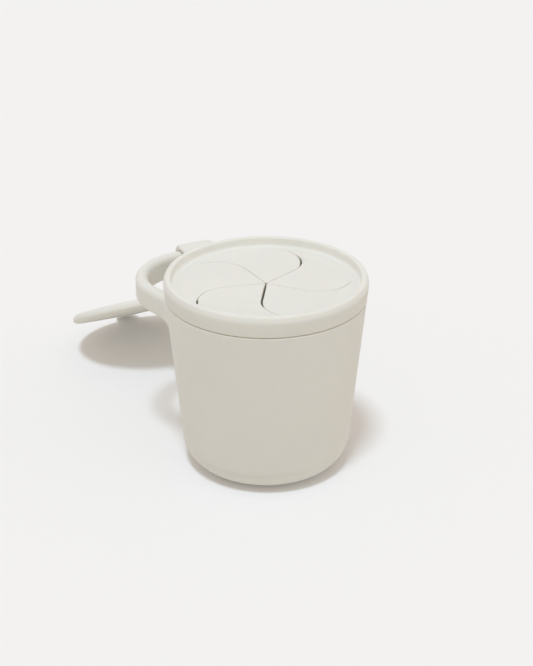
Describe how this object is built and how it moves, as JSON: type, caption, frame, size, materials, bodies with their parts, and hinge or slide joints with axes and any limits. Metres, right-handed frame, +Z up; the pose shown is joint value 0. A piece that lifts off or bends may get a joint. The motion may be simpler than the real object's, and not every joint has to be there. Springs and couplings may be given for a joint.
{
  "type": "toddler snack container",
  "caption": "Silicone snack cup with a loop handle, a lid of curved push-through flaps, and a dust cover on a strap that swings over and plugs into the lid.",
  "frame": {"origin": "centre of the cup's flat base, on the surface it stands on", "axes": "+Z up along the cup's axis; the handle's centre is on -X; the tether's loop is on the handle's +Y half"},
  "size_m": [0.199, 0.1322, 0.0903],
  "materials": {
    "silicone": "matte"
  },
  "bodies": {
    "cup": {"cup_body": "silicone", "handle": "silicone"},
    "lid": {"lid_rim": "silicone", "lid_web": "silicone"},
    "flap_1": {"flap_1": "silicone"},
    "flap_2": {"flap_2": "silicone"},
    "flap_3": {"flap_3": "silicone"},
    "flap_4": {"flap_4": "silicone"},
    "flap_5": {"flap_5": "silicone"},
    "loop": {"tether_loop": "silicone"},
    "strap_upper": {"strap_upper": "silicone"},
    "strap_lower": {"strap_lower": "silicone"},
    "cover": {"dust_cover": "silicone"},
    "tab": {"pull_tab": "silicone"}
  },
  "joints": [
    {"name": "lid_lift", "type": "slide", "parent": "cup", "child": "lid", "axis": [0, 0, -1], "range_m": [-0.03, 0]},
    {"name": "flap_1_bend", "type": "hinge", "parent": "lid", "child": "flap_1", "pos_m": [0.00662, 0.02939, 0.0851], "axis": [0.9756, -0.2196, 0], "range_deg": [-20, 45], "stiffness_Nm_per_rad": 0.02},
    {"name": "flap_2_bend", "type": "hinge", "parent": "lid", "child": "flap_2", "pos_m": [-0.02591, 0.01537, 0.0851], "axis": [0.5103, 0.86, 0], "range_deg": [-20, 45], "stiffness_Nm_per_rad": 0.02},
    {"name": "flap_3_bend", "type": "hinge", "parent": "lid", "child": "flap_3", "pos_m": [-0.02263, -0.01989, 0.0851], "axis": [-0.6602, 0.7511, 0], "range_deg": [-20, 45], "stiffness_Nm_per_rad": 0.02},
    {"name": "flap_4_bend", "type": "hinge", "parent": "lid", "child": "flap_4", "pos_m": [0.01192, -0.02767, 0.0851], "axis": [-0.9183, -0.3958, 0], "range_deg": [-20, 45], "stiffness_Nm_per_rad": 0.02},
    {"name": "flap_5_bend", "type": "hinge", "parent": "lid", "child": "flap_5", "pos_m": [0.03, 0.00279, 0.0851], "axis": [0.0927, -0.9957, 0], "range_deg": [-20, 45], "stiffness_Nm_per_rad": 0.02},
    {"name": "loop_slide", "type": "hinge", "parent": "cup", "child": "loop", "pos_m": [-0.04, 0, 0.0741], "axis": [0, 0, 1], "range_deg": [0, 10.79]},
    {"name": "strap_swing", "type": "hinge", "parent": "loop", "child": "strap_upper", "pos_m": [-0.06458, 0.02325, 0.0773], "axis": [0.4337, 0.9011, 0], "range_deg": [0, 184.15]},
    {"name": "strap_fold", "type": "hinge", "parent": "strap_upper", "child": "strap_lower", "pos_m": [-0.06485, 0.02338, 0.0658], "axis": [0.4337, 0.9011, 0], "range_deg": [0, 45.19]},
    {"name": "cover_turn", "type": "hinge", "parent": "strap_lower", "child": "cover", "pos_m": [-0.07607, 0.02878, 0.04694], "axis": [-0.4337, -0.9011, 0], "range_deg": [0, 20.85]},
    {"name": "tab_flex", "type": "hinge", "parent": "cover", "child": "tab", "pos_m": [-0.14748, 0.06315, 0.00392], "axis": [0.4337, 0.9011, 0], "range_deg": [-35, 0], "stiffness_Nm_per_rad": 0.02}
  ]
}
